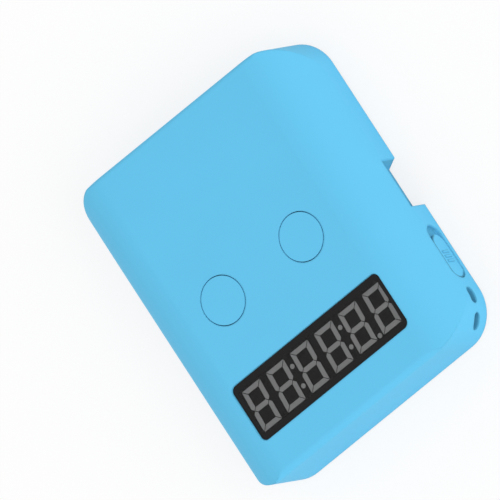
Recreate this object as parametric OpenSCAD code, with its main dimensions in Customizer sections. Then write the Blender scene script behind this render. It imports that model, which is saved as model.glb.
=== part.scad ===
// Pocket timer for timed puzzle solving: a flat plastic case with rolled-over
// sides, two flush round buttons, a six-digit display in the top, a power slide
// and a cord eye in the right side, and two cells under a hinged door.
// Millimetres. +Z is up, -Y is the display side, +X is the side with the slide.
// The origin lies on the table, under the middle of the case.

/* [Case] */
// Width across the two buttons
case_w = 68; // [66:1:74]
// Depth from the display side to the battery side
case_d = 80; // [79:1:90]
// Height of the top shell above its rim
case_h = 17.3; // [17:0.1:20]
// Radius of the four upright corners
corner_r = 9.4; // [8:0.2:10.4]
// Radius of the rolled-over left and right edges
roll_r = 11.8; // [10.6:0.2:12.6]
// Radius of the crisp front edge
front_r = 1.6; // [0.8:0.1:2.2]
// Radius of the back edge
back_r = 1; // [0.6:0.1:1.6]
// Thickness of the side walls
wall = 2; // [1.8:0.1:2.1]
// Thickness of the roof of the top shell
roof_t = 2; // [1.8:0.1:2.2]
// Height of the feet below the rim
foot_lift = 0.4; // [0.3:0.1:0.8]

/* [Display] */
// Width of the window opening
window_w = 46.5; // [46.3:0.1:47.5]
// Depth of the window opening
window_d = 14.5; // [13.6:0.1:15]
// How far the window pane lies below the top of the case
window_sink = 0.45; // [0.3:0.05:0.6]
// Height of one digit
digit_h = 10.3; // [9:0.1:10.8]
// Width of one digit
digit_w = 5.6; // [4.8:0.1:5.8]
// Distance from one digit to the next
digit_pitch = 7.63; // [7.3:0.01:7.7]
// Lean of the digits in degrees
digit_lean = 3.5; // [0:0.5:6]

/* [Buttons] */
// Radius of the round hole for each button
button_hole_r = 5.75; // [5:0.05:6.1]
// Distance of each button from the middle of the case
button_x = 12.45; // [12.3:0.05:13.2]
// Radial gap between a button and its hole
button_gap = 0.2; // [0.1:0.05:0.3]
// How far a button can be pressed
button_travel = 0.45; // [0.3:0.05:0.5]

/* [Slide and openings] */
// Length of the recess for the power slide
recess_len = 14.2; // [13:0.1:15]
// Height of the recess for the power slide
recess_h = 5.3; // [4.8:0.1:5.6]
// Travel of the power slide
slide_travel = 2.3; // [1.8:0.1:2.6]
// Width of the finger notch at the rim
notch_w = 12.6; // [9:0.1:13]
// Height of the finger notch above the rim
notch_h = 6.2; // [4.5:0.1:6.4]
// Depth of the finger notch into the case
notch_depth = 2.75; // [2.4:0.05:2.9]
// Height of the two holes for the cord
eye_h = 2.4; // [1.8:0.1:2.6]
// Opening of the battery door drawn in the model, in degrees
door_open = 0; // [0:1:90]

/* [Hidden] */
$fn = 64;

case_blue = [0.38, 0.76, 0.93];
black_plastic = [0.13, 0.12, 0.12];
board_green = [0.08, 0.32, 0.18];
steel = [0.72, 0.73, 0.75];

// levels and half sizes
half_w = case_w / 2;
half_d = case_d / 2;
z_rim = foot_lift;
z_top = z_rim + case_h;
z_roof = z_top - roof_t;
cut = 1;            // how far a cutter runs past what it cuts

// case form
crown_r = 400;      // the back of the top falls away along this radius
crown_len = 20;     // over this length before the back
crown_y = half_d - crown_len;
crown_lead = 2.5;   // the arc's axis lies this far before its start, for a faint edge
inner_edge_r = 0.5;
cover_t = 2;
cover_gap = 0.15;
z_cover = z_rim + cover_t;

// screws
screw_r = 1;
screw_gap = 0.03;
head_r = 1.8;
head_t = 1.4;
case_boss_r = 2.6;
cover_boss_r = 3.1;
z_cover_boss = z_cover + 1.8;
cover_boss_floor = 1.6;
boss_seat = 0.05;
screw_len = 7;
head_gap = 0.2;
hole_gap = 0.12;
case_screw_side = 14;
case_screw_end = 4.6;
case_screw_x = half_w - case_screw_side;
case_screw_y = half_d - case_screw_end;
case_screw_places = [for (x = [-1, 1], y = [-1, 1]) [x * case_screw_x, y * case_screw_y]];

// feet
foot_r = 2.1;
foot_t = 1.2;
foot_gap = 0.05;
foot_side = 8.2;
foot_end = 4.8;
foot_x = half_w - foot_side;
foot_y = half_d - foot_end;
foot_places = [for (x = [-1, 1], y = [-1, 1]) [x * foot_x, y * foot_y]];

// cells, bay and door
cell_r = 5.25;
cell_len = 44.5;
nub_len = 1;
nub_r = 1.9;
cell_play = 0.2;
cell_pitch = 2 * cell_r + 0.3;
bay_wall = 1.2;
bay_roof_t = 1;
door_t = 1.4;
door_gap = 0.15;
door_ledge = 1.25;
hinge_setback = 0.75;
z_cell = z_rim + door_t + door_gap + cell_play + cell_r;
bay_d = 2 * cell_pitch;
bay_back_end = 8.9;
bay_back = half_d - bay_back_end;
bay_front = bay_back - bay_d;
cell_y = [bay_front + cell_pitch / 2, bay_back - cell_pitch / 2];
plate_t = 0.4;
spring_room = 5.1;
bay_half_w = (cell_len + spring_room + 2 * plate_t) / 2;
z_bay_roof = z_cell + cell_r + cell_play;
plate_w = 8.4;
plate_h = 7.8;
spring_wire_r = 0.25;
spring_turns = 4;
spring_steps = 14;
spring_big_r = 3.4;
spring_small_r = 1.9;
door_half_w = bay_half_w + door_ledge - door_gap;
door_front = bay_front - door_ledge + door_gap;
hinge_y = bay_back + hinge_setback;
hinge_z = z_rim + door_t / 2;
hinge_pin_r = 0.45;
hinge_pin_len = 0.9;
hinge_pin_gap = 0.05;
nail_r = 7;
nail_depth = 1;
nail_reach = 2;

// main board
board_t = 1.6;
z_board = 7.7;
z_board_top = z_board + board_t;
board_side = 4.5;
board_bay_gap = 1.3;
board_front_end = 8.5;
tongue_boss_gap = 0.4;
tongue_front_end = 4.6;
board_half_w = half_w - board_side;
board_back = bay_front - bay_wall - board_bay_gap;
board_front = -half_d + board_front_end;
tongue_half_w = case_screw_x - case_boss_r - tongue_boss_gap;
tongue_front = -half_d + tongue_front_end;
post_r = 2.1;
post_inset = 2.3;
tail_room = 1.2;
board_screw_len = 4.7;
post_hole_len = 3.4;
back_post_x = board_half_w - post_inset;
back_post_y = board_back - post_inset - tail_room;
front_post_x = tongue_half_w - post_inset;
front_post_y = tongue_front + post_inset;
board_screw_places = [for (side = [-1, 1]) each
    [[side * front_post_x, front_post_y], [side * back_post_x, back_post_y]]];

// contact tails that run from the bay to the board
tail_w = 1.1;
tail_slot_gap = 0.2;
negative_tail_end = board_back - 0.6;
positive_leg = 0.8;
positive_tail_end = negative_tail_end - positive_leg - 0.5;
z_strip = z_cell + plate_h / 2 + 0.25;

// display
display_end = 16;
display_y = -half_d + display_end;
window_r = 1.6;
window_fit = 0.1;
window_t = 0.6;
window_ledge = 0.65;
ledge_corner_r = 0.3;
z_window = z_top - window_sink - window_t;
module_gap = 0.15;
module_seat = 0.05;
module_w = window_w - 2 * (window_ledge + module_gap);
module_d = window_d - 2 * (window_ledge + module_gap);
z_module = z_window - module_seat;
digit_count = 6;
segment_w = 1.15;
segment_gap = 0.16;
segment_t = 0.3;
dot_r = 0.58;
colon_rise = 2.52;
point_drop = digit_h / 2 - dot_r + 0.1;
pin_r = 0.25;
pin_pitch = 2.54;
pin_count = 8;
pin_row_y = 5;
pin_stub = 1.2;
pin_gap = 0.03;

// parts on the board, behind the display
chip_place = [-18, display_y + 12.5];
chip_w = 7;
chip_t = 1.4;
chip_leg_count = 8;
chip_leg_pitch = 0.8;
chip_leg = [0.4, 1, 0.3];
crystal_place = [-9.5, display_y + 11.5];
crystal_len = 8;
crystal_w = 3.2;
crystal_h = 3;
capacitor_r = 2.5;
capacitor_h = 4;
capacitor_gap = 1;
resistor_place = [2, display_y + 11];
resistor_pitch = 3;
resistor_count = 6;
resistor_size = [1.2, 2, 0.6];
buzzer_r = 4.5;
buzzer_h = 4;
buzzer_hole_r = 0.8;
buzzer_hole_depth = 2;

// buttons
button_r = button_hole_r - button_gap;
flange_r = 6.65;
flange_t = 0.9;
flange_gap = 0.3;
sleeve_gap = 0.1;
sleeve_wall = 1;
sleeve_drop = 1.8;
stem_r = 1.6;
stem_len = 0.2;
stem_gap = 0.05;
tact_w = 6;
plunger_r = 1.75;
plunger_rise = 1.5;
plunger_gap = 0.08;
plunger_sunk = 0.5;
plunger_room = 1.2;
z_flange = z_roof - flange_gap - flange_t;
z_plunger = z_flange - stem_len;
z_tact = z_plunger - plunger_rise;
tact_h = z_tact - z_board_top;

// power slide
slide_z = z_rim + 3.85;
recess_front = -half_d + 12.7;
recess_depth = 0.95;
knob_fit = 0.15;
knob_len = recess_len - slide_travel - 2 * knob_fit;
knob_y = recess_front + knob_fit + knob_len / 2;
knob_h = recess_h - 2 * knob_fit;
knob_floor_gap = 0.1;
knob_face_sink = 0.2;
ridge_count = 3;
ridge_pitch = 1.2;
ridge_w = 0.4;
ridge_h = 2.6;
neck_len = 3;
neck_h = 1.8;
neck_gap = 0.1;
hook_len = 5.2;
hook_h = 3.2;
hook_t = 0.9;
hook_gap = 0.15;
lever_w = 1.4;
lever_gap = 0.06;
lever_bite = 0.5;
frame_len = 8.6;
frame_depth = 3.5;
frame_room = 1.8;
z_frame = z_cover + 0.5;
frame_x = half_w - wall - hook_gap - hook_t - 2.9;
frame_y = knob_y + slide_travel / 2;

// finger notch
notch_y = -1.5;
notch_slant = 0.5;
notch_wall = 1.2;

// cord eye
eye_z = z_rim + 4.5;
eye_len = 4;
eye_angles = [-7, -45];
eye_floor = 5.4;
eye_inner = corner_r - wall + 0.2;
eye_wall = 1;
eye_x = half_w - corner_r;
eye_y = -half_d + corner_r;
eye_end = eye_y + 2.7;

// A flat rectangle with exact round corners, centred on the origin.
module rounded_rect(w, d, r) {
    square([w - 2 * r, d], center = true);
    square([w, d - 2 * r], center = true);
    for (x = [-1, 1], y = [-1, 1])
        translate([x * (w / 2 - r), y * (d / 2 - r)])
            circle(r);
}

// A flat slot with round ends that lies along X.
module stadium(len, h) {
    square([len - h, h], center = true);
    for (side = [-1, 1])
        translate([side * (len - h) / 2, 0])
            circle(h / 2);
}

// Outline of the case from the front: flat on top, with two round shoulders.
module shoulder_outline(inset, lid) {
    r = roll_r - inset;
    w = half_w - inset;
    h = z_top - lid;
    translate([-w, -roll_r])
        square([2 * w, h - r + roll_r]);
    translate([r - w, -roll_r])
        square([2 * (w - r), h + roll_r]);
    for (side = [-1, 1])
        translate([side * (w - r), h - r])
            circle(r);
}

// Outline of the case from the right: crisp front edge and a back that falls away.
module crown_outline(inset, lid, r_front, r_back) {
    d = half_d - inset;
    h = z_top - lid;
    axis_y = crown_y - crown_lead;
    axis_z = h - sqrt(pow(crown_r, 2) - pow(crown_lead, 2));
    back_y = d - r_back;
    back_z = axis_z + sqrt(pow(crown_r - r_back, 2) - pow(back_y - axis_y, 2));
    touch_y = axis_y + (back_y - axis_y) * crown_r / (crown_r - r_back);
    translate([-d, -cut])
        square([d + crown_y, h - r_front + cut]);
    translate([r_front - d, -cut])
        square([d - r_front + crown_y, h + cut]);
    translate([r_front - d, h - r_front])
        circle(r_front);
    intersection() {
        translate([axis_y, axis_z])
            circle(crown_r, $fn = 900);
        translate([crown_y, -cut])
            square([touch_y - crown_y, h + 2 * cut]);
    }
    translate([back_y, back_z])
        circle(r_back);
    translate([crown_y, -cut])
        square([d - crown_y, back_z + cut]);
}

// The case as a solid, drawn in by inset at the sides and by lid at the top.
module case_form(inset, lid, r_front, r_back, z_low) {
    intersection() {
        translate([0, 0, z_low])
            linear_extrude(z_top - z_low)
                rounded_rect(case_w - 2 * inset, case_d - 2 * inset, corner_r - inset);
        translate([0, half_d + cut, 0])
            rotate([90, 0, 0])
                linear_extrude(case_d + 2 * cut)
                    shoulder_outline(inset, lid);
        translate([-half_w - cut, 0, 0])
            rotate([90, 0, 90])
                linear_extrude(case_w + 2 * cut)
                    crown_outline(inset, lid, r_front, r_back);
    }
}

// Plan of the finger notch, whose end walls splay outwards; grow makes it wider.
module notch_plan(depth, grow) {
    outer = notch_w / 2 + grow;
    inner = outer - notch_slant * notch_depth;
    splay = notch_slant * cut;
    polygon([[half_w - depth, notch_y - inner], [half_w, notch_y - outer],
        [half_w + cut, notch_y - outer - splay], [half_w + cut, notch_y + outer + splay],
        [half_w, notch_y + outer], [half_w - depth, notch_y + inner]]);
}

// Stadium-shaped cutter or plate on the right wall, between two depths.
module side_stadium(x_in, x_out, y, len, h) {
    translate([x_in, y, slide_z])
        rotate([90, 0, 90])
            linear_extrude(x_out - x_in)
                stadium(len, h);
}

// The two outer holes of the cord eye, which cut towards the corner's own axis.
module eye_holes() {
    for (angle = eye_angles)
        translate([eye_x, eye_y, eye_z])
            rotate([0, 0, angle])
                translate([eye_floor + eye_wall, 0, 0])
                    rotate([90, 0, 90])
                        linear_extrude(corner_r - eye_floor)
                            stadium(eye_len, eye_h);
}

// The curved passage behind the post, from one hole to the other.
module eye_passage() {
    reach = eye_len / 2 / eye_inner * 180 / PI;
    intersection() {
        translate([eye_x, eye_y, eye_z - eye_h / 2])
            difference() {
                cylinder(h = eye_h, r = eye_inner);
                translate([0, 0, -cut])
                    cylinder(h = eye_h + 2 * cut, r = eye_floor);
            }
        translate([eye_x, eye_y, eye_z - eye_h])
            linear_extrude(2 * eye_h)
                polygon([[0, 0],
                    for (angle = [eye_angles[1] - reach, (eye_angles[0] + eye_angles[1]) / 2,
                        eye_angles[0] + reach])
                        2 * corner_r * [cos(angle), sin(angle)]]);
    }
}

// Thick corner that holds the passage, open only through the two holes.
module eye_block() {
    low = z_cover + 0.2;
    high = eye_z + eye_h / 2 + eye_wall;
    difference() {
        translate([eye_x, -half_d + wall / 2, low])
            cube([corner_r, eye_end + half_d - wall / 2, high - low]);
        translate([eye_x, eye_y, low - cut])
            cylinder(h = high - low + 2 * cut, r = eye_floor - eye_wall);
    }
}

module button_places() {
    for (side = [-1, 1])
        translate([side * button_x, 0, 0])
            children();
}

// Posts, sleeves and housings that hang from the inside of the top shell.
module case_inside() {
    for (place = case_screw_places)
        translate([place[0], place[1], z_cover_boss + boss_seat])
            cylinder(h = z_top - z_cover_boss, r = case_boss_r);
    for (place = board_screw_places)
        translate([place[0], place[1], z_board_top])
            cylinder(h = z_top - z_board_top, r = post_r);
    button_places()
        translate([0, 0, z_roof - sleeve_drop])
            cylinder(h = sleeve_drop + roof_t / 2, r = flange_r + sleeve_gap + sleeve_wall);
    translate([0, 0, z_rim])
        linear_extrude(notch_h + notch_wall)
            notch_plan(notch_depth + notch_wall, notch_wall);
    eye_block();
}

module top_case() {
    color(case_blue)
        difference() {
            union() {
                difference() {
                    case_form(0, 0, front_r, back_r, z_rim);
                    case_form(wall, roof_t, inner_edge_r, inner_edge_r, z_rim - cut);
                }
                intersection() {
                    case_form(wall / 2, roof_t / 2, inner_edge_r, inner_edge_r, z_rim);
                    case_inside();
                }
            }
            // window, with the ledge that carries the pane
            translate([0, display_y, z_window])
                linear_extrude(roof_t)
                    rounded_rect(window_w, window_d, window_r);
            translate([0, display_y, z_roof - cut])
                linear_extrude(roof_t + cut)
                    rounded_rect(window_w - 2 * window_ledge, window_d - 2 * window_ledge,
                        ledge_corner_r);
            button_places()
                translate([0, 0, z_roof - sleeve_drop - cut])
                    cylinder(h = sleeve_drop + cut, r = flange_r + sleeve_gap);
            button_places()
                translate([0, 0, z_roof - cut])
                    cylinder(h = roof_t + 2 * cut, r = button_hole_r);
            // power slide: shallow recess, and the slot behind it for the neck
            side_stadium(half_w - recess_depth, half_w + cut,
                recess_front + recess_len / 2, recess_len, recess_h);
            translate([half_w - wall - cut, knob_y - neck_len / 2 - neck_gap,
                slide_z - neck_h / 2 - neck_gap])
                cube([wall + cut, neck_len + slide_travel + 2 * neck_gap,
                    neck_h + 2 * neck_gap]);
            translate([0, 0, z_rim - cut])
                linear_extrude(notch_h + cut)
                    notch_plan(notch_depth, 0);
            eye_holes();
            eye_passage();
            for (place = case_screw_places)
                translate([place[0], place[1], z_cover_boss - cut])
                    cylinder(h = screw_len + cut, r = screw_r + screw_gap);
            for (place = board_screw_places)
                translate([place[0], place[1], z_board_top - cut])
                    cylinder(h = post_hole_len + cut, r = screw_r + screw_gap);
        }
}

// Outline of the inset bottom cover, which passes round the notch housing.
module cover_plan() {
    inset = wall + cover_gap;
    difference() {
        rounded_rect(case_w - 2 * inset, case_d - 2 * inset, corner_r - inset);
        notch_plan(notch_depth + notch_wall + cover_gap, notch_wall + cover_gap);
    }
}

module bottom_cover() {
    color(case_blue * 0.94)
        difference() {
            union() {
                translate([0, 0, z_rim])
                    linear_extrude(cover_t)
                        cover_plan();
                intersection() {
                    translate([0, 0, z_rim])
                        linear_extrude(z_cover_boss - z_rim)
                            cover_plan();
                    for (place = case_screw_places)
                        translate([place[0], place[1], z_rim])
                            cylinder(h = z_cover_boss - z_rim, r = cover_boss_r);
                }
                translate([-bay_half_w - bay_wall, bay_front - bay_wall, z_rim])
                    cube([2 * (bay_half_w + bay_wall), bay_d + 2 * bay_wall,
                        z_bay_roof + bay_roof_t - z_rim]);
            }
            translate([-bay_half_w, bay_front, z_rim - cut])
                cube([2 * bay_half_w, bay_d, z_bay_roof - z_rim + cut]);
            // step for the door, its hinge holes and the nail recess
            translate([-door_half_w - door_gap, door_front - door_gap, z_rim - cut])
                cube([2 * (door_half_w + door_gap),
                    hinge_y + door_t / 2 + 2 * door_gap - door_front,
                    door_t + door_gap + cut]);
            translate([-door_half_w - hinge_pin_len - 2 * door_gap, hinge_y, hinge_z])
                rotate([0, 90, 0])
                    cylinder(h = 2 * (door_half_w + hinge_pin_len + 2 * door_gap),
                        r = hinge_pin_r + hinge_pin_gap);
            translate([0, door_front + nail_r - nail_reach, z_rim - cut])
                cylinder(h = nail_depth + cut, r = nail_r);
            for (place = case_screw_places)
                translate([place[0], place[1], z_rim - cut]) {
                    cylinder(h = z_cover_boss - z_rim + 2 * cut, r = screw_r + hole_gap);
                    cylinder(h = z_cover_boss - cover_boss_floor - z_rim + cut,
                        r = head_r + head_gap);
                }
            for (place = foot_places)
                translate([place[0], place[1], z_rim - cut])
                    cylinder(h = foot_t - foot_lift + cut, r = foot_r + foot_gap);
            // slots for the two contact tails that run to the board
            for (z = [z_board_top, z_strip])
                translate([-bay_half_w - tail_slot_gap / 2, bay_front - bay_wall - cut,
                    z - tail_slot_gap / 2])
                    cube([plate_t + tail_slot_gap, bay_wall + 2 * cut, tail_w + tail_slot_gap]);
        }
}

// Door with a round back edge, which turns on two short pins.
module battery_door() {
    color(case_blue * 0.9)
        translate([0, hinge_y, hinge_z])
            rotate([door_open, 0, 0])
                translate([0, -hinge_y, -hinge_z]) {
                    translate([-door_half_w, door_front, z_rim])
                        cube([2 * door_half_w, hinge_y - door_front, door_t]);
                    translate([-door_half_w, hinge_y, hinge_z])
                        rotate([0, 90, 0])
                            cylinder(h = 2 * door_half_w, r = door_t / 2);
                    translate([-door_half_w - hinge_pin_len, hinge_y, hinge_z])
                        rotate([0, 90, 0])
                            cylinder(h = 2 * (door_half_w + hinge_pin_len), r = hinge_pin_r);
                }
}

// Pan-head screw that points up, with its head's top face at z = 0 and a cross recess.
module screw(len) {
    slot_w = 0.5;
    slot_len = 2.2;
    difference() {
        union() {
            translate([0, 0, -head_t])
                cylinder(h = head_t, r = head_r);
            cylinder(h = len, r = screw_r);
        }
        for (turn = [0, 90])
            rotate([0, 0, turn])
                translate([-slot_len / 2, -slot_w / 2, -head_t - cut])
                    cube([slot_len, slot_w, head_t / 2 + cut]);
    }
}

module case_screws() {
    color(steel)
        for (place = case_screw_places)
            translate([place[0], place[1], z_cover_boss - cover_boss_floor])
                screw(screw_len);
}

module board_screws() {
    color(steel)
        for (place = board_screw_places)
            translate([place[0], place[1], z_board])
                screw(board_screw_len);
}

module rubber_feet() {
    color(black_plastic)
        for (place = foot_places)
            translate([place[0], place[1], 0])
                cylinder(h = foot_t, r = foot_r);
}

module display_window() {
    color([0.2, 0.2, 0.21, 0.5])
        translate([0, display_y, z_window])
            linear_extrude(window_t)
                rounded_rect(window_w - 2 * window_fit, window_d - 2 * window_fit,
                    window_r - window_fit);
}

// One upright or level bar of a digit, with pointed ends.
module segment(len) {
    tip = segment_w / 2;
    half = len / 2 - segment_gap / 2 * sqrt(2);
    polygon([[-half, 0], [tip - half, tip], [half - tip, tip], [half, 0],
        [half - tip, -tip], [tip - half, -tip]]);
}

// The outer bars are cut off square along the digit's outside.
module outer_segment(len) {
    tip = segment_w / 2;
    half = len / 2 - segment_gap / 2 * sqrt(2);
    polygon([[-half - tip, tip], [half + tip, tip], [half - tip, -tip], [tip - half, -tip]]);
}

// An upright bar: square outside, mitred at its outer end, pointed at the middle.
module upright_segment(len) {
    tip = segment_w / 2;
    half = len / 2 - segment_gap / 2 * sqrt(2);
    polygon([[-half, 0], [tip - half, tip], [half + tip, tip], [half - tip, -tip],
        [tip - half, -tip]]);
}

// Seven bars of one digit, leaning to the right.
module digit_plan() {
    w = digit_w - segment_w;
    h = digit_h - segment_w;
    multmatrix([[1, tan(digit_lean), 0, 0], [0, 1, 0, 0], [0, 0, 1, 0], [0, 0, 0, 1]]) {
        segment(w);
        for (side = [-1, 1])
            scale([1, side, 1])
                translate([0, h / 2, 0])
                    outer_segment(w);
        for (x = [-1, 1], y = [-1, 1])
            scale([x, y, 1])
                translate([w / 2, h / 4, 0])
                    rotate([0, 0, 90])
                        mirror([0, 1, 0])
                            upright_segment(h / 2);
    }
}

// All digits, two pairs of dots and the point before the last digit.
module display_plan() {
    lean = tan(digit_lean);
    middle = (digit_count - 1) / 2;
    for (i = [0 : digit_count - 1])
        translate([(i - middle) * digit_pitch, 0])
            digit_plan();
    for (gap = [-1, 1], rise = [-colon_rise, colon_rise])
        translate([gap * digit_pitch + rise * lean, rise])
            circle(dot_r, $fn = 24);
    translate([2 * digit_pitch - point_drop * lean, -point_drop])
        circle(dot_r, $fn = 24);
}

module digit_segments() {
    color([0.52, 0.52, 0.52])
        translate([0, display_y, z_module - segment_t])
            linear_extrude(segment_t)
                display_plan();
}

module display_module() {
    color(black_plastic)
        difference() {
            translate([-module_w / 2, display_y - module_d / 2, z_board_top])
                cube([module_w, module_d, z_module - z_board_top]);
            translate([0, display_y, z_module - segment_t])
                linear_extrude(segment_t + cut)
                    display_plan();
        }
}

module pin_places() {
    for (i = [0 : pin_count - 1], side = [-1, 1])
        translate([(i - (pin_count - 1) / 2) * pin_pitch, display_y + side * pin_row_y, 0])
            children();
}

module display_pins() {
    color(steel)
        pin_places()
            translate([0, 0, z_board - pin_stub])
                cylinder(h = board_t + pin_stub, r = pin_r, $fn = 16);
}

// Flush cap, a wide flange that stops it under the roof, and a stem to the switch.
module button(side) {
    color(case_blue)
        translate([side * button_x, 0, 0]) {
            translate([0, 0, z_flange])
                cylinder(h = z_top - z_flange, r = button_r);
            translate([0, 0, z_flange])
                cylinder(h = flange_t, r = flange_r);
            translate([0, 0, z_plunger + stem_gap])
                cylinder(h = z_flange - z_plunger, r = stem_r);
        }
}

module left_button() {
    button(-1);
}

module right_button() {
    button(1);
}

module plunger(side) {
    color(black_plastic)
        translate([side * button_x, 0, z_tact - plunger_sunk])
            cylinder(h = plunger_sunk + plunger_rise, r = plunger_r);
}

module left_plunger() {
    plunger(-1);
}

module right_plunger() {
    plunger(1);
}

// Tactile switch: a square body with a round well for its plunger.
module tact_switch(side) {
    color([0.25, 0.25, 0.27])
        translate([side * button_x, 0, z_board_top])
            difference() {
                translate([-tact_w / 2, -tact_w / 2, 0])
                    cube([tact_w, tact_w, tact_h]);
                translate([0, 0, tact_h - plunger_room])
                    cylinder(h = plunger_room + cut, r = plunger_r + plunger_gap);
            }
}

module left_tact_switch() {
    tact_switch(-1);
}

module right_tact_switch() {
    tact_switch(1);
}

module main_board() {
    color(board_green)
        difference() {
            union() {
                translate([-board_half_w, board_front, z_board])
                    cube([2 * board_half_w, board_back - board_front, board_t]);
                translate([-tongue_half_w, tongue_front, z_board])
                    cube([2 * tongue_half_w, board_front - tongue_front + cut, board_t]);
            }
            for (place = board_screw_places)
                translate([place[0], place[1], z_board - cut])
                    cylinder(h = board_t + 2 * cut, r = screw_r + hole_gap);
            pin_places()
                translate([0, 0, z_board - cut])
                    cylinder(h = board_t + 2 * cut, r = pin_r + pin_gap, $fn = 16);
        }
}

// Square chip with a row of flat legs on each side.
module controller_chip() {
    color(black_plastic)
        translate([chip_place[0], chip_place[1], z_board_top]) {
            translate([-chip_w / 2, -chip_w / 2, 0])
                cube([chip_w, chip_w, chip_t]);
            for (turn = [0 : 90 : 270], i = [0 : chip_leg_count - 1])
                rotate([0, 0, turn])
                    translate([(i - (chip_leg_count - 1) / 2) * chip_leg_pitch - chip_leg[0] / 2,
                        chip_w / 2, 0])
                        cube(chip_leg);
        }
}

module crystal() {
    color(steel)
        translate([crystal_place[0], crystal_place[1], z_board_top])
            linear_extrude(crystal_h)
                stadium(crystal_len, crystal_w);
}

// Stands beside the right back post.
module capacitor() {
    color([0.2, 0.25, 0.5])
        translate([back_post_x - post_r - capacitor_gap - capacitor_r, back_post_y, z_board_top])
            cylinder(h = capacitor_h, r = capacitor_r);
}

module resistors() {
    color([0.15, 0.15, 0.16])
        for (i = [0 : resistor_count - 1])
            translate([resistor_place[0] + i * resistor_pitch, resistor_place[1], z_board_top])
                cube(resistor_size);
}

// Round sounder between the two buttons, with its sound hole on top.
module buzzer() {
    color(black_plastic)
        translate([0, 0, z_board_top])
            difference() {
                cylinder(h = buzzer_h, r = buzzer_r);
                translate([0, 0, buzzer_h - buzzer_hole_depth])
                    cylinder(h = buzzer_hole_depth + cut, r = buzzer_hole_r);
            }
}

// Flat knob with three ridges, a neck through the wall and a hook behind it.
module slide_knob() {
    face = half_w - knob_face_sink;
    hook_x = half_w - wall - hook_gap - hook_t;
    color(case_blue)
        difference() {
            union() {
                side_stadium(half_w - recess_depth + knob_floor_gap, face, knob_y, knob_len, knob_h);
                for (i = [0 : ridge_count - 1])
                    translate([face, knob_y + (i - (ridge_count - 1) / 2) * ridge_pitch
                        - ridge_w / 2, slide_z - ridge_h / 2])
                        cube([knob_face_sink, ridge_w, ridge_h]);
                translate([hook_x, knob_y - neck_len / 2, slide_z - neck_h / 2])
                    cube([face - hook_x - knob_face_sink, neck_len, neck_h]);
                translate([hook_x, knob_y - hook_len / 2, slide_z - hook_h / 2])
                    cube([hook_t, hook_len, hook_h]);
            }
            translate([hook_x - cut, knob_y - lever_w / 2 - lever_gap,
                slide_z - lever_w / 2 - lever_gap])
                cube([lever_bite + cut + lever_gap, lever_w + 2 * lever_gap,
                    lever_w + 2 * lever_gap]);
        }
}

module slide_lever() {
    start = frame_x - frame_room + 0.3;
    color(black_plastic)
        translate([start, knob_y - lever_w / 2, slide_z - lever_w / 2])
            cube([half_w - wall - hook_gap - hook_t + lever_bite - start, lever_w, lever_w]);
}

// Metal-framed switch below the board, with a window for its lever.
module slide_switch() {
    play = 0.1;
    color(steel)
        difference() {
            translate([frame_x - frame_depth, frame_y - frame_len / 2, z_frame])
                cube([frame_depth, frame_len, z_board - z_frame]);
            translate([frame_x - frame_room, frame_y - (lever_w + slide_travel) / 2 - play,
                slide_z - lever_w / 2 - play])
                cube([frame_room + cut, lever_w + slide_travel + 2 * play, lever_w + 2 * play]);
        }
}

// Cylindrical cell along X; side gives the end that its nub points to.
module cell(y, side) {
    color([0.2, 0.21, 0.24])
        translate([side * (bay_half_w - plate_t), y, z_cell])
            rotate([0, -side * 90, 0]) {
                cylinder(h = cell_len, r = nub_r);
                translate([0, 0, nub_len])
                    cylinder(h = cell_len - nub_len, r = cell_r);
            }
}

module front_cell() {
    cell(cell_y[0], 1);
}

module back_cell() {
    cell(cell_y[1], -1);
}

// Centre line of a conical battery spring, wide end at z = 0.
function spring_point(t) = let(turn = 360 * spring_turns * t,
    r = spring_big_r + (spring_small_r - spring_big_r) * t)
    [r * cos(turn), r * sin(turn),
        spring_wire_r + t * (spring_room - 2 * spring_wire_r)];

// One six-sided ring of wire round the centre line.
function spring_ring(t) = let(p = spring_point(t), turn = 360 * spring_turns * t)
    [for (a = [0 : 60 : 300])
        p + spring_wire_r * [cos(a) * cos(turn), cos(a) * sin(turn), sin(a)]];

// Wire wound to a cone, as one swept tube.
module battery_spring() {
    last = spring_turns * spring_steps;
    points = [for (i = [0 : last]) each spring_ring(i / last)];
    sides = [for (i = [0 : last - 1], k = [0 : 5]) each [
        [6 * i + k, 6 * i + (k + 1) % 6, 6 * i + 6 + (k + 1) % 6],
        [6 * i + k, 6 * i + 6 + (k + 1) % 6, 6 * i + 6 + k]]];
    first_cap = [for (k = [1 : 4]) [0, k + 1, k]];
    last_cap = [for (k = [1 : 4]) [6 * last, 6 * last + k, 6 * last + k + 1]];
    polyhedron(points, concat(sides, first_cap, last_cap));
}

module battery_springs() {
    color(steel)
        for (i = [0, 1])
            translate([(2 * i - 1) * (bay_half_w - plate_t), cell_y[i], z_cell])
                rotate([0, 90 - 180 * i, 0])
                    battery_spring();
}

// Upright contact plate against an end wall of the bay.
module contact_plate(side, y_low, y_high) {
    x = side > 0 ? bay_half_w - plate_t : -bay_half_w;
    translate([x, y_low, z_cell - plate_h / 2])
        cube([plate_t, y_high - y_low, plate_h]);
}

module negative_contact() {
    color(steel) {
        contact_plate(-1, cell_y[0] - plate_w / 2, cell_y[0] + plate_w / 2);
        translate([-bay_half_w, negative_tail_end, z_board_top])
            cube([plate_t, cell_y[0] - negative_tail_end, tail_w]);
    }
}

module positive_contact() {
    color(steel) {
        contact_plate(-1, cell_y[1] - plate_w / 2, cell_y[1] + plate_w / 2);
        translate([-bay_half_w, cell_y[1] - plate_w / 2, z_cell])
            cube([plate_t, tail_w, z_strip + tail_w - z_cell]);
        translate([-bay_half_w, positive_tail_end, z_strip])
            cube([plate_t, cell_y[1] - plate_w / 2 + tail_w - positive_tail_end, tail_w]);
        translate([-bay_half_w, positive_tail_end, z_board_top])
            cube([plate_t, positive_leg, z_strip + tail_w - z_board_top]);
    }
}

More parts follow.
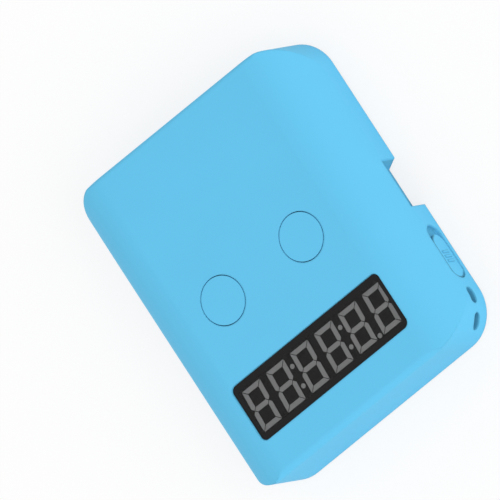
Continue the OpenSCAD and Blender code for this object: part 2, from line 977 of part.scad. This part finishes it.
module bridge_contact() {
    color(steel)
        contact_plate(1, cell_y[0] - plate_w / 2, cell_y[1] + plate_w / 2);
}

top_case();
bottom_cover();
battery_door();
case_screws();
rubber_feet();
display_window();
display_module();
digit_segments();
display_pins();
left_button();
right_button();
left_plunger();
right_plunger();
left_tact_switch();
right_tact_switch();
main_board();
board_screws();
controller_chip();
crystal();
capacitor();
resistors();
buzzer();
slide_knob();
slide_lever();
slide_switch();
front_cell();
back_cell();
battery_springs();
negative_contact();
positive_contact();
bridge_contact();
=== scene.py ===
import math

import bmesh
import bpy
from mathutils import Matrix, Vector


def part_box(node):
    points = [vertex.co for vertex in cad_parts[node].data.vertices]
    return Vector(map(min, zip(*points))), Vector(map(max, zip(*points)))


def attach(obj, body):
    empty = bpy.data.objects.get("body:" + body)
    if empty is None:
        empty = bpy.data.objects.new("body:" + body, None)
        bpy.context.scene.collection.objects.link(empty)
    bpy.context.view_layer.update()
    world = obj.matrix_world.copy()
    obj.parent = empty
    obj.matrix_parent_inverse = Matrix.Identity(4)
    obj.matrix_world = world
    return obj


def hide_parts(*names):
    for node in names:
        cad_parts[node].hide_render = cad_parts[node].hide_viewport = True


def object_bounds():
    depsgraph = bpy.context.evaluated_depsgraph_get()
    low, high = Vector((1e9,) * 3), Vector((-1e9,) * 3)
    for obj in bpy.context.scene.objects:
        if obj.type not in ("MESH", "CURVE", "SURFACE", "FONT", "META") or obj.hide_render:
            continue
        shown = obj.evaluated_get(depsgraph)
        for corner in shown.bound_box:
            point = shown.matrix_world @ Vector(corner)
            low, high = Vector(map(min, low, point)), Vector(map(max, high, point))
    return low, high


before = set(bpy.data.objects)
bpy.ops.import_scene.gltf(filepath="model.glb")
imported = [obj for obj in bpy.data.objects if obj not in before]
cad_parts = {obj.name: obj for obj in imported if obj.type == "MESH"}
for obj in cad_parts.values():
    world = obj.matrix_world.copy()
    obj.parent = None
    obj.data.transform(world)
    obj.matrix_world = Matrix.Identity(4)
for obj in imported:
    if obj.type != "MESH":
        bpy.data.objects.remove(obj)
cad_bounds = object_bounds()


# ---- Studio ---------------------------------------------------------------
# A flat parallel view of the timer from its right and front, as the photo has
# it, over a pale floor. An even white room lights it, with a broad lamp from
# the front right and a weaker, higher one from the left.

MM = 0.001
photo_pixels = 500
pixels_per_mm = 4.5
view_azimuth = math.radians(63.69)
view_elevation = math.radians(60.78)
view_roll = math.radians(-99.64)
rim_height = 0.4 * MM
rim_centre_pixel = (299.45, 262.25)
camera_distance = 400 * MM
nearest_seen = 0.01
farthest_seen = 10

view_back = Vector((
    math.sin(view_azimuth) * math.cos(view_elevation),
    -math.cos(view_azimuth) * math.cos(view_elevation),
    math.sin(view_elevation),
))
level_right = Vector((math.cos(view_azimuth), math.sin(view_azimuth), 0))
level_up = view_back.cross(level_right)
rolled = Matrix.Rotation(view_roll, 3, view_back)
view_right = rolled @ level_right
view_up = rolled @ level_up

camera_data = bpy.data.cameras.new("studio_camera")
camera_data.type = "ORTHO"
camera_data.ortho_scale = photo_pixels / pixels_per_mm * MM
camera_data.clip_start = nearest_seen
camera_data.clip_end = farthest_seen
camera = bpy.data.objects.new("studio_camera", camera_data)
bpy.context.collection.objects.link(camera)
aim = Vector((0, 0, rim_height))
aim -= view_right * (rim_centre_pixel[0] - photo_pixels / 2) / pixels_per_mm * MM
aim += view_up * (rim_centre_pixel[1] - photo_pixels / 2) / pixels_per_mm * MM
camera.matrix_world = Matrix.Translation(aim + view_back * camera_distance) @ Matrix(
    (view_right, view_up, view_back)).transposed().to_4x4()
bpy.context.scene.camera = camera
bpy.context.scene.view_settings.view_transform = "Standard"


class Wire:
    """One output of a node in a tree; sums with it add their Math nodes."""

    def __init__(self, tree, socket=None):
        self.tree = tree
        self.socket = socket

    def node(self, kind, settings=None, sockets=None, output=0):
        """Adds a node: first its settings, then the values or links of its sockets."""
        made = self.tree.nodes.new("ShaderNode" + kind)
        for name, value in (settings or {}).items():
            setattr(made, name, value)
        for name, value in (sockets or {}).items():
            if isinstance(value, Wire):
                self.tree.links.new(value.socket, made.inputs[name])
            else:
                made.inputs[name].default_value = value
        return Wire(self.tree, made.outputs[output] if made.outputs else None)

    def math(self, operation, first, second=0.0):
        """The result of a Math node."""
        return self.node("Math", {"operation": operation}, {0: first, 1: second})

    def split(self):
        """The three numbers of a vector."""
        return [self.node("SeparateXYZ", None, {0: self}, output=axis) for axis in range(3)]

    def blend(self, mask, low, high):
        """A colour that goes from low to high as the mask goes from 0 to 1.

        Inputs 6 and 7 and output 2 are the colour ones of the Mix node.
        """
        return self.node("Mix", {"data_type": "RGBA"}, {0: mask, 6: low, 7: high}, output=2)

    def step(self, edge, width):
        """0 below the edge and 1 above it, over a soft width."""
        return self.node("MapRange", {"interpolation_type": "SMOOTHSTEP"}, {
            "Value": self, "From Min": edge - width / 2, "From Max": edge + width / 2})

    def __add__(self, other):
        return self.math("ADD", self, other)

    def __radd__(self, other):
        return self.math("ADD", other, self)

    def __sub__(self, other):
        return self.math("SUBTRACT", self, other)

    def __rsub__(self, other):
        return self.math("SUBTRACT", other, self)

    def __mul__(self, other):
        return self.math("MULTIPLY", self, other)

    def __rmul__(self, other):
        return self.math("MULTIPLY", other, self)

    def __abs__(self):
        return self.math("ABSOLUTE", self)


def new_material(name):
    """An empty material, the start of its wiring, and its place in millimetres."""
    material = bpy.data.materials.new(name)
    material.use_nodes = True
    material.node_tree.nodes.clear()
    wire = Wire(material.node_tree)
    place = wire.node("TexCoord", output="Object")
    place = wire.node("VectorMath", {"operation": "SCALE"}, {0: place, "Scale": 1 / MM})
    return material, wire, place


def finish_material(wire, shader):
    """Ends a material's wiring with this shader."""
    wire.node("OutputMaterial", None, {"Surface": shader})


white = (1, 1, 1, 1)
floor_size = 4
floor_white = (0.93, 0.93, 0.93, 1)
floor_glow = 0.76
floor_corners = ((-1, -1), (1, -1), (1, 1), (-1, 1))
floor_mesh = bpy.data.meshes.new("studio_floor")
floor_mesh.from_pydata(
    [(x * floor_size / 2, y * floor_size / 2, 0) for x, y in floor_corners], [], [(0, 1, 2, 3)])
studio_floor = bpy.data.objects.new("studio_floor", floor_mesh)
bpy.context.collection.objects.link(studio_floor)
floor_paint, wire = new_material("floor_paint")[:2]
paper = wire.node("BsdfDiffuse", None, {"Color": floor_white})
glow = wire.node("Emission", None, {"Color": white, "Strength": 1})
seen = wire.node("LightPath", output="Is Camera Ray")
finish_material(wire, wire.node("MixShader", None, {0: seen * floor_glow, 1: paper, 2: glow}))
floor_mesh.materials.append(floor_paint)

world = bpy.data.worlds.new("white_room")
world.use_nodes = True
world.node_tree.nodes.clear()
room = Wire(world.node_tree)
room_strength = 0.74
path_camera = room.node("LightPath", output="Is Camera Ray")
path_glass = room.node("LightPath", output="Is Transmission Ray")
direct = room.math("MAXIMUM", path_camera, path_glass)
strength = direct * (1 - room_strength) + room_strength
room.node("OutputWorld", None, {"Surface": room.node(
    "Background", None, {"Color": white, "Strength": strength})})
bpy.context.scene.world = world


def add_sun(name, side, strength, softness):
    """A distant lamp on this side of the timer, as wide as softness in degrees."""
    lamp = bpy.data.lights.new(name, "SUN")
    lamp.energy = strength
    lamp.angle = math.radians(softness)
    holder = bpy.data.objects.new(name, lamp)
    holder.rotation_mode = "QUATERNION"
    holder.rotation_quaternion = Vector(side).to_track_quat("Z", "Y")
    bpy.context.collection.objects.link(holder)


add_sun("broad_lamp", side=(1, -0.62, 0.7), strength=1.17, softness=50)
add_sun("high_lamp", side=(-0.8, -0.3, 1), strength=0.36, softness=70)


# ---- Top shell ------------------------------------------------------------
# The injection-moulded top of the case, screwed to the cover from below. It is
# the mesh of its solid, with each side roll flattened as the top falls behind,
# so that the two blend where the solid has an edge. The normals follow there.

case_top = 17.7
roll_start = 22.2
roll_r = 11.8
roll_axis = case_top - roll_r
crown_start = 20
crown_axis = 17.5
crown_r = 400
back_edge_start = 39.04
back_edge_low = 15.9
back_edge_lean = 0.12
crown_cuts = (crown_start, 23, 26, 29, 32, 35, 37)
roll_cuts = (roll_start, 22.8, 23.6, 24.4, 25.2)
slack = 0.01
roll_play = 0.02
crown_play = 0.13
merged_gap = 0.002
cut_gap = 0.001


def crown_drop(y):
    """How far the top has fallen at this distance behind the middle."""
    if y <= crown_start:
        return 0
    start = math.sqrt(crown_r ** 2 - (crown_start - crown_axis) ** 2)
    return start - math.sqrt(crown_r ** 2 - (y - crown_axis) ** 2)


def roll_lean(x):
    """0 where a roll starts, 1 at its foot."""
    return min(1, max(0, (abs(x) - roll_start) / roll_r))


def solid_top(x, y):
    """Height of the solid's top, where the lower of crown and roll shows."""
    return min(case_top - crown_drop(y), roll_axis + roll_r * math.sqrt(1 - roll_lean(x) ** 2))


def blended_top(x, y):
    """Height of the top with its rolls flattened."""
    return roll_axis + (roll_r - crown_drop(y)) * math.sqrt(1 - roll_lean(x) ** 2)


def blended_normal(x, y, z):
    """Direction that the blended top faces at a point of it."""
    drop = crown_drop(y)
    rise = min(1, (z - roll_axis) / (roll_r - drop))
    slope = (y - crown_axis) / crown_r if y >= crown_start else 0
    side = math.copysign(roll_lean(x) * (1 - drop / roll_r), x)
    return Vector((side, slope * rise ** 2, rise)).normalized()


def shell_zone(spot):
    """Which part of the back end a point in millimetres lies on, if any."""
    x, y, z = spot
    from_axis = math.hypot(abs(x) - roll_start, z - roll_axis)
    if abs(x) > roll_start and z > roll_axis - slack and abs(from_axis - roll_r) < roll_play:
        return "roll"
    if y > back_edge_start + roll_play and z > back_edge_low:
        return "edge"
    if abs(z - (case_top - crown_drop(y))) < crown_play:
        return "crown"
    return None


def back_end_faces(shell):
    """Faces of the top's skin that reach behind the start of the crown."""
    return [face for face in shell.faces
        if max(vert.co.y for vert in face.verts) > (crown_start + slack) * MM
        and all(shell_zone(vert.co / MM) for vert in face.verts)]


shell_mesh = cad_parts["top_case"].data.copy()
shell_mesh.name = "top_shell"
moulded = shell_mesh.attributes.new("moulded_normal", "FLOAT_VECTOR", "CORNER")
moulded.data.foreach_set(
    "vector", [part for corner in shell_mesh.corner_normals for part in corner.vector])
shell_mesh.attributes.remove(shell_mesh.attributes["custom_normal"])

shell = bmesh.new()
shell.from_mesh(shell_mesh)
bmesh.ops.remove_doubles(shell, verts=shell.verts, dist=merged_gap * MM)
cuts = [((0, y * MM, 0), (0, 1, 0)) for y in crown_cuts]
cuts += [((x * MM, 0, 0), (1, 0, 0)) for away in roll_cuts for x in (-away, away)]
for point, across in cuts:
    faces = back_end_faces(shell)
    edges = {edge for face in faces for edge in face.edges}
    verts = {vert for face in faces for vert in face.verts}
    bmesh.ops.bisect_plane(shell, geom=[*faces, *edges, *verts], dist=cut_gap * MM,
        plane_co=point, plane_no=across)

blended = {}
shell.faces.index_update()
for face in back_end_faces(shell):
    zones = {shell_zone(vert.co / MM) for vert in face.verts}
    if face.calc_center_median().y > crown_start * MM:
        at_edge = "edge" in zones and face.normal.y > back_edge_lean
        blended[face.index] = "edge" if at_edge else "top"
for vert in {vert for face in shell.faces if face.index in blended for vert in face.verts}:
    x, y, z = vert.co / MM
    zone = shell_zone((x, y, z))
    if zone == "roll":
        z = roll_axis + (z - roll_axis) * (1 - crown_drop(y) / roll_r)
    elif zone == "crown":
        z = blended_top(x, y)
    else:
        z += blended_top(x, back_edge_start) - solid_top(x, back_edge_start)
    vert.co.z = z * MM
shell.to_mesh(shell_mesh)
shell.free()

normals = [Vector(corner.vector) for corner in shell_mesh.attributes["moulded_normal"].data]
for face in shell_mesh.polygons:
    if face.index in blended:
        for corner in face.loop_indices:
            x, y, z = shell_mesh.vertices[shell_mesh.loops[corner].vertex_index].co / MM
            if blended[face.index] == "top":
                normals[corner] = blended_normal(x, y, z)
            else:
                above = blended_normal(x, back_edge_start, blended_top(x, back_edge_start))
                before = normals[corner]
                normals[corner] = above * before.z + Vector((0, before.y, 0))
shell_mesh.normals_split_custom_set([normal.normalized() for normal in normals])
top_shell = bpy.data.objects.new("top_shell", shell_mesh)
bpy.context.collection.objects.link(top_shell)
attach(top_shell, "case")
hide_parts("top_case")


# ---- Moulded blue case ----------------------------------------------------
# The top shell, bottom cover, door, buttons and slide knob are one light blue
# plastic with a fine spark-eroded grain. Moulded edges look slightly rounded:
# the Bevel shader softens their shading and moves no point. Painted shade
# darkens the right wall's notch, slot and cord eye, and painted shadow the
# knob's upper edge, front end and the feet of its ridges.

def dress(material, *names):
    """Gives the named nodes this material in every slot."""
    for name in names:
        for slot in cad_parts[name].material_slots:
            slot.material = material


def moulded_plastic(name, colour, roughness, gloss=0.1, grain=0.3, edge=0.15, shade=None):
    """Spark-eroded plastic: fine grain, a faint mottle, soft edges and, where shade says, painted
    shade.
    """
    paler = 1.02
    deeper = 0.98
    painted_shade_tone = 0.12
    roughness_spread = 0.12
    material, wire, place = new_material(name)
    mottle = wire.node("TexNoise", None, {"Vector": place, "Scale": 0.06, "Detail": 4})
    pits = wire.node("TexNoise", None, {"Vector": place, "Scale": 5, "Detail": 3})
    pale = [min(1, part * paler) for part in colour] + [1]
    deep = [part * deeper for part in colour] + [1]
    paint = wire.blend(mottle, deep, pale)
    # Painted shade: where the shade mask rises, the colour darkens towards a small share of itself.
    if shade:
        paint = wire.blend(shade(place), paint, [part * painted_shade_tone for part in colour] + [1])
    rounded = wire.node("Bevel", {"samples": 6}, {"Radius": edge * MM})
    finish_material(wire, wire.node("BsdfPrincipled", None, {
        "Base Color": paint,
        "Roughness": roughness + (pits - 0.5) * roughness_spread,
        "Specular IOR Level": gloss,
        "Normal": wire.node("Bump", None, {
            "Strength": grain, "Distance": 0.01 * MM, "Height": pits, "Normal": rounded})}))
    return material


case_half_w = cad_bounds[1].x / MM
case_half_d = cad_bounds[1].y / MM
corner_r = 9.4
side_openings_top = 7.4
side_openings_back = 6
notch_front = -10
slot_front = -29
slot_lower_wall = 2
# Painted shade for the right wall's recesses: stronger in the deep passages, weaker on the slot's
# lower wall where light falls.
recess_depth = 0.35
recess_painted_shade = 0.28
lit_wall_loss = 0.22
passage_depth = 2.4
passage_painted_shade = 0.42


def side_recesses(place):
    """Painted shade, from 0 to 1 with the depth below the right wall, in its notch, slot and eye.
    """
    x, y, z = place.split()
    across = x.math("MAXIMUM", x - (case_half_w - corner_r), 0)
    along = y.math("MINIMUM", y + (case_half_d - corner_r), 0)
    depth = corner_r - x.math("SQRT", across * across + along * along)
    in_notch = y.step(notch_front, width=0.5)
    above_wall = z.step(slot_lower_wall, width=0.6)
    lit_wall = y.step(slot_front, width=0.5) * (1 - above_wall) * (1 - in_notch)
    shallow = depth.step(recess_depth, width=0.3) * (recess_painted_shade - lit_wall * lit_wall_loss)
    deep = depth.step(passage_depth, width=3.6) * passage_painted_shade * (1 - in_notch)
    low = 1 - z.step(side_openings_top, width=0.1)
    front = 1 - y.step(side_openings_back, width=0.1)
    right = x.step(case_half_w - corner_r, width=0.2)
    return (shallow + deep) * low * front * right


def box_mm(name):
    """A node's lowest and highest corners in millimetres."""
    return [Vector(corner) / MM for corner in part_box(name)]


knob_low, knob_high = box_mm("slide_knob")
knob_r = (knob_high.z - knob_low.z) / 2
knob_straight = (knob_high.y - knob_low.y) / 2 - knob_r
ridge_pitch = 1.2
ridge_half_w = 0.2
ridge_half_h = 1.3
ridges_half_span = 1.5 * ridge_pitch
# Painted shadow along the knob's rim and painted shade at the foot of its ridges: widths and
# strengths.
rim_width = 0.38
rim_painted_shade = 0.6
foot_painted_shade = 0.3
painted_shade_above = 0.4
painted_shade_front = -knob_straight - 1.2


def knob_painted_shade(place):
    """Painted shadow on the knob's upper edge and front end, painted shade at the foot of its
    ridges.
    """
    y, z = place.split()[1:]
    along = y - (knob_low.y + knob_high.y) / 2
    rise = z - (knob_low.z + knob_high.z) / 2
    beyond = y.math("MAXIMUM", abs(along) - knob_straight, 0)
    inside = knob_r - y.math("SQRT", beyond * beyond + rise * rise)
    shaded = y.math(
        "MAXIMUM", rise.step(painted_shade_above, width=1.2), 1 - along.step(painted_shade_front, width=1))
    rim = (1 - inside.step(rim_width, width=0.45)) * shaded
    folded = y.math("PINGPONG", along + ridges_half_span, ridge_pitch / 2)
    nearest = abs(folded - ridge_pitch / 2)
    off = y.math("MAXIMUM", nearest - ridge_half_w, abs(rise) - ridge_half_h)
    in_ridges = 1 - abs(along).step(ridges_half_span, width=0.1)
    foot = off.step(0.02, width=0.04) * (1 - off.step(0.2, width=0.2)) * in_ridges
    return rim * rim_painted_shade + foot * foot_painted_shade


case_blue = (0.13, 0.538, 0.818)
underside_blue = [part * 0.97 for part in case_blue]
case_roughness = 0.5
case_gloss = 0.06
shell_blue = moulded_plastic(
    "blue_shell", case_blue, case_roughness, case_gloss, edge=0.6, shade=side_recesses)
shell_mesh.materials.clear()
shell_mesh.materials.append(shell_blue)
caps_blue = moulded_plastic("blue_caps", case_blue, case_roughness, case_gloss)
dress(caps_blue, "left_button", "right_button")
knob_blue = moulded_plastic("blue_knob", case_blue, case_roughness, case_gloss, shade=knob_painted_shade)
dress(knob_blue, "slide_knob")
dress(moulded_plastic("blue_underside", underside_blue, roughness=0.55),
    "bottom_cover", "battery_door")


# ---- Display --------------------------------------------------------------
# A smoked acrylic pane with a black border printed on its upper face, over a
# black epoxy-filled module. The bars and dots are unlit milky resin.

def black_resin(name, colour, roughness):
    """Cast or moulded black resin with dusty, slightly uneven gloss."""
    return moulded_plastic(name, colour, roughness, gloss=0.3, grain=0.15)


module_low, module_high = box_mm("display_module")
module_middle = (module_low + module_high) / 2
border_x = 0.4
border_y = 0.9
clear_half_x = (module_high.x - module_low.x) / 2 - border_x
clear_half_y = (module_high.y - module_low.y) / 2 - border_y
pane, wire, place = new_material("smoked_pane")
x, y = place.split()[:2]
beyond_x = abs(x - module_middle.x).step(clear_half_x, width=0.02)
beyond_y = abs(y - module_middle.y).step(clear_half_y, width=0.02)
facing_up = wire.node("TexCoord", output="Normal").split()[2].step(0.5, width=0.1)
printed_border = wire.math("MAXIMUM", beyond_x, beyond_y) * facing_up
smears = wire.node("TexNoise", None, {
    "Vector": place, "Scale": 0.4, "Detail": 5, "Distortion": 1})
smoke = wire.blend(smears, (0.015, 0.015, 0.015, 1), (0.019, 0.019, 0.019, 1))
print_black = wire.blend(smears, (0.0065, 0.0065, 0.007, 1), (0.0095, 0.009, 0.0095, 1))
clear_alpha = 0.3
finish_material(wire, wire.node("BsdfPrincipled", None, {
    "Base Color": wire.blend(printed_border, smoke, print_black),
    "Roughness": 0.16 + smears * 0.08,
    "Specular IOR Level": 0.15,
    "Alpha": clear_alpha + printed_border * (1 - clear_alpha)}))
dress(pane, "display_window")

resin, wire, place = new_material("milky_segments")
cloud = wire.node("TexNoise", None, {"Vector": place, "Scale": 2.5, "Detail": 3})
finish_material(wire, wire.node("BsdfPrincipled", None, {
    "Base Color": wire.blend(cloud, (0.60, 0.61, 0.61, 1), (0.70, 0.70, 0.70, 1)),
    "Roughness": 0.4 + cloud * 0.2,
    "Normal": wire.node("Bump", None, {
        "Strength": 0.3, "Distance": 0.05 * MM, "Height": cloud})}))
dress(resin, "digit_segments")
dress(black_resin("display_resin", (0.009, 0.008, 0.008), roughness=0.5), "display_module")


# ---- Metal ----------------------------------------------------------------
# Nickel-plated steel of the screws, switch frame, crystal can, legs, springs
# and contact plates, with fine drawn scratches and a faint yellow tarnish.

joined_facets = bpy.data.node_groups.new("joined_facets", "GeometryNodeTree")
joined_facets.interface.new_socket("Mesh", in_out="INPUT", socket_type="NodeSocketGeometry")
joined_facets.interface.new_socket("Mesh", in_out="OUTPUT", socket_type="NodeSocketGeometry")
start, bare_normals, merge, smooth, end = [joined_facets.nodes.new(kind) for kind in (
    "NodeGroupInput", "GeometryNodeRemoveAttribute", "GeometryNodeMergeByDistance",
    "GeometryNodeSetShadeSmooth", "NodeGroupOutput")]
bare_normals.inputs["Name"].default_value = "custom_normal"
merge.inputs["Distance"].default_value = merged_gap * MM
for before, after in ((start, bare_normals), (bare_normals, merge), (merge, smooth), (smooth, end)):
    joined_facets.links.new(before.outputs[0], after.inputs[0])


def soften(width, *names):
    """Joins the facets of the named nodes and rounds their sharp edges for the picture."""
    for name in names:
        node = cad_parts[name]
        node.modifiers.new("join", "NODES").node_group = joined_facets
        bevel = node.modifiers.new("edge_round", "BEVEL")
        bevel.width = width * MM
        bevel.segments = 3
        bevel.limit_method = "ANGLE"
        bevel.angle_limit = math.radians(40)
        bevel.harden_normals = True


def plated_metal(name, colour, roughness, stretch):
    """Plated metal whose scratches run along the axis that is stretched least."""
    yellowing = (0.92, 0.9, 0.84)
    scratch_spread = 0.25
    material, wire, place = new_material(name)
    drawn = wire.node("VectorMath", {"operation": "MULTIPLY"}, {0: place, 1: stretch})
    scratches = wire.node("TexNoise", None, {"Vector": drawn, "Scale": 4, "Detail": 4})
    tarnish = wire.node("TexNoise", None, {"Vector": place, "Scale": 0.35, "Detail": 3})
    tarnished = [part * kept for part, kept in zip(colour, yellowing)] + [1]
    finish_material(wire, wire.node("BsdfPrincipled", None, {
        "Base Color": wire.blend(tarnish, [*colour, 1], tarnished),
        "Metallic": 1.0,
        "Roughness": roughness + (scratches - 0.5) * scratch_spread,
        "Normal": wire.node("Bump", None, {
            "Strength": 0.25, "Distance": 0.02 * MM, "Height": scratches})}))
    return material


nickel = (0.66, 0.65, 0.62)
dress(plated_metal("nickel_turned", nickel, roughness=0.34, stretch=(1, 1, 6)),
    "case_screws", "board_screws", "display_pins")
dress(plated_metal("nickel_sheet", nickel, roughness=0.3, stretch=(1, 8, 1)),
    "slide_switch", "crystal", "negative_contact", "positive_contact", "bridge_contact")
soften(0.15, "case_screws", "board_screws")
soften(0.12, "slide_switch", "crystal")


# ---- Battery springs ------------------------------------------------------
# Nickel wire wound to a cone, which presses on each cell. A round swept wire
# stands for the six-sided one of the solid. It follows the solid's centre line
# and adds a closed turn at each end.

wire_r = 0.25
turns = 4
turn_steps = 24
wide_r = 3.4
narrow_r = 1.9
spring_room = 5.1


def spring_path():
    """Centre line from a closed wide turn, over a rising cone, to a closed narrow turn."""
    points = []
    for step in range(-turn_steps, (turns + 1) * turn_steps + 1):
        rise = min(1, max(0, step / (turns * turn_steps)))
        angle = 2 * math.pi * step / turn_steps
        radius = wide_r + (narrow_r - wide_r) * rise
        points.append((radius * math.cos(angle), radius * math.sin(angle),
            wire_r + rise * (spring_room - 2 * wire_r)))
    return points


spring_low, spring_high = box_mm("battery_springs")
wound = bpy.data.curves.new("wound_springs", "CURVE")
wound.dimensions = "3D"
wound.bevel_depth = wire_r * MM
wound.bevel_resolution = 3
wound.use_fill_caps = True
for cell, start_x, side in (("front_cell", spring_low.x, 1), ("back_cell", spring_high.x, -1)):
    cell_low, cell_high = box_mm(cell)
    middle = (cell_low + cell_high) / 2
    path = [(start_x + side * rise, middle.y + across, middle.z - side * down)
        for down, across, rise in spring_path()]
    line = wound.splines.new("POLY")
    line.points.add(len(path) - 1)
    for point, spot in zip(line.points, path):
        point.co = (*(part * MM for part in spot), 1)
springs = bpy.data.objects.new("wound_springs", wound)
bpy.context.collection.objects.link(springs)
wound.materials.append(plated_metal("nickel_wire", nickel, roughness=0.28, stretch=(3, 1, 1)))
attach(springs, "case")
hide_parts("battery_springs")


# ---- Main board -----------------------------------------------------------
# Glass-epoxy board under green solder mask, screwed into the top shell. Copper
# tracks show through as raised, lighter lines, and tinned through-holes join
# the two sides. The near-black middle of each hole is painted shade.

hole_ring = 0.1
hole_bore = 0.045
hole_fade = 0.015
black = (0, 0, 0, 1)
board, wire, place = new_material("solder_mask")
tracks = wire.node("TexBrick", {"offset": 0.4, "squash": 1.0}, {
    "Vector": place, "Color1": black, "Color2": black, "Mortar": white,
    "Scale": 0.35, "Mortar Size": 0.035, "Brick Width": 3.7, "Row Height": 0.42}, output="Fac")
from_hole = wire.node("TexVoronoi", {"voronoi_dimensions": "2D"}, {"Vector": place, "Scale": 0.24})
ring = 1 - from_hole.step(hole_ring, hole_fade)
# Painted shade: the open middle of each through-hole is painted near-black.
bore = 1 - from_hole.step(hole_bore, hole_fade)
weave = wire.node("TexWave", None, {"Vector": place, "Scale": 1.5, "Distortion": 2})
mask_green = wire.blend(tracks, (0.01, 0.105, 0.035, 1), (0.025, 0.19, 0.07, 1))
ringed = wire.blend(ring, mask_green, (0.7, 0.69, 0.66, 1))
finish_material(wire, wire.node("BsdfPrincipled", None, {
    "Base Color": wire.blend(bore, ringed, (0.01, 0.02, 0.012, 1)),
    "Metallic": ring - bore,
    "Roughness": 0.3 + weave * 0.1,
    "Coat Weight": 0.4,
    "Normal": wire.node("Bump", None, {
        "Strength": 0.5, "Distance": 0.05 * MM, "Height": tracks})}))
dress(board, "main_board")


# ---- Parts on the board ---------------------------------------------------
# Chip and resistors are matt moulded epoxy with tinned ends. The sounder and
# the switch bodies are black plastic, and the capacitor wears a blue sleeve.

def tinned_ends(name, colour, tin_mask):
    """Black epoxy with tinned metal where the mask, made from the place, is 1."""
    material, wire, place = new_material(name)
    tinned = tin_mask(place)
    speckle = wire.node("TexNoise", None, {"Vector": place, "Scale": 6, "Detail": 3})
    finish_material(wire, wire.node("BsdfPrincipled", None, {
        "Base Color": wire.blend(tinned, [*colour, 1], (0.72, 0.71, 0.68, 1)),
        "Metallic": tinned,
        "Roughness": 0.6 - tinned * 0.3 + (speckle - 0.5) * 0.1,
        "Normal": wire.node("Bump", None, {
            "Strength": 0.3, "Distance": 0.02 * MM, "Height": speckle})}))
    return material


def chip_legs(place):
    """1 beyond the square body of the chip."""
    leg_length = 1
    low, high = box_mm("controller_chip")
    middle = (low + high) / 2
    x, y = place.split()[:2]
    far = place.math("MAXIMUM", abs(x - middle.x), abs(y - middle.y))
    return far.step((high.x - low.x) / 2 - leg_length, width=0.02)


def resistor_caps(place):
    """1 at the two ends of each resistor."""
    cap_length = 0.35
    low, high = box_mm("resistors")
    from_middle = abs(place.split()[1] - (low.y + high.y) / 2)
    return from_middle.step((high.y - low.y) / 2 - cap_length, width=0.05)


dress(tinned_ends("chip_epoxy", (0.02, 0.02, 0.022), chip_legs), "controller_chip")
dress(tinned_ends("resistor_glaze", (0.03, 0.03, 0.035), resistor_caps), "resistors")
dress(black_resin("sounder_plastic", (0.02, 0.02, 0.02), roughness=0.45), "buzzer")
dress(black_resin("switch_plastic", (0.035, 0.035, 0.04), roughness=0.5),
    "left_tact_switch", "right_tact_switch")
dress(black_resin("plunger_plastic", (0.02, 0.02, 0.02), roughness=0.35),
    "left_plunger", "right_plunger")
dress(black_resin("lever_plastic", (0.03, 0.03, 0.03), roughness=0.4), "slide_lever")
soften(0.15, "controller_chip", "buzzer", "left_tact_switch", "right_tact_switch")
soften(0.1, "resistors", "left_plunger", "right_plunger", "slide_lever")

stripe_start = 1.6
lid_depth = 0.05
low, high = box_mm("capacitor")
sleeve, wire, place = new_material("capacitor_sleeve")
x, z = place.split()[::2]
stripe = (x - (low.x + high.x) / 2).step(stripe_start, width=0.1)
bare_top = z.step(high.z - lid_depth, width=0.04)
creases = wire.node("TexNoise", None, {"Vector": place, "Scale": 1.2, "Detail": 3})
sleeve_colour = wire.blend(stripe, (0.015, 0.03, 0.16, 1), (0.45, 0.47, 0.5, 1))
finish_material(wire, wire.node("BsdfPrincipled", None, {
    "Base Color": wire.blend(bare_top, sleeve_colour, (0.75, 0.75, 0.75, 1)),
    "Metallic": bare_top,
    "Roughness": 0.3 + creases * 0.15,
    "Normal": wire.node("Bump", None, {
        "Strength": 0.2, "Distance": 0.1 * MM, "Height": creases})}))
dress(sleeve, "capacitor")
soften(0.4, "capacitor")


# ---- Cells ----------------------------------------------------------------
# Two plain AAA cells: a printed charcoal sleeve with a copper-coloured band at
# the nub end, rolled edges, and bare metal at both ends.

def cell_jacket(name, node, nub_side):
    """Sleeve, band and bare ends, placed along the cell from its nub end."""
    bare_nub_end = 1.25
    bare_flat_end = 0.3
    band_end = 11
    band_metal = 0.7
    material, wire, place = new_material(name)
    low, high = box_mm(node)
    x = place.split()[0]
    along = (high.x - x) if nub_side > 0 else (x - low.x)
    sleeved = along.step(bare_nub_end, width=0.04)
    sleeved_end = high.x - low.x - bare_flat_end
    bare = 1 - sleeved * (1 - along.step(sleeved_end, width=0.04))
    band = 1 - along.step(band_end, width=0.05)
    scuffs = wire.node("TexNoise", None, {"Vector": place, "Scale": 0.7, "Detail": 5})
    printed = wire.blend(band, (0.03, 0.032, 0.038, 1), (0.5, 0.2, 0.07, 1))
    finish_material(wire, wire.node("BsdfPrincipled", None, {
        "Base Color": wire.blend(bare, printed, (0.7, 0.7, 0.68, 1)),
        "Metallic": wire.math("MAXIMUM", bare, band * band_metal),
        "Roughness": 0.25 + scuffs * 0.15,
        "Coat Weight": 0.3,
        "Normal": wire.node("Bump", None, {
            "Strength": 0.2, "Distance": 0.1 * MM, "Height": scuffs})}))
    return material


dress(cell_jacket("front_cell_sleeve", "front_cell", nub_side=1), "front_cell")
dress(cell_jacket("back_cell_sleeve", "back_cell", nub_side=-1), "back_cell")
soften(0.45, "front_cell", "back_cell")


# ---- Rubber feet ----------------------------------------------------------
# Four round feet of matt dark rubber, glued into shallow seats in the cover,
# with a patchy film of dust all over them.

rubber, wire, place = new_material("foot_rubber")
dust = wire.node("TexNoise", None, {"Vector": place, "Scale": 1.5, "Detail": 6})
finish_material(wire, wire.node("BsdfPrincipled", None, {
    "Base Color": wire.blend(dust, (0.018, 0.018, 0.018, 1), (0.05, 0.05, 0.048, 1)),
    "Roughness": 0.75 + dust * 0.15,
    "Normal": wire.node("Bump", None, {
        "Strength": 0.5, "Distance": 0.03 * MM, "Height": dust})}))
dress(rubber, "rubber_feet")
soften(0.2, "rubber_feet")
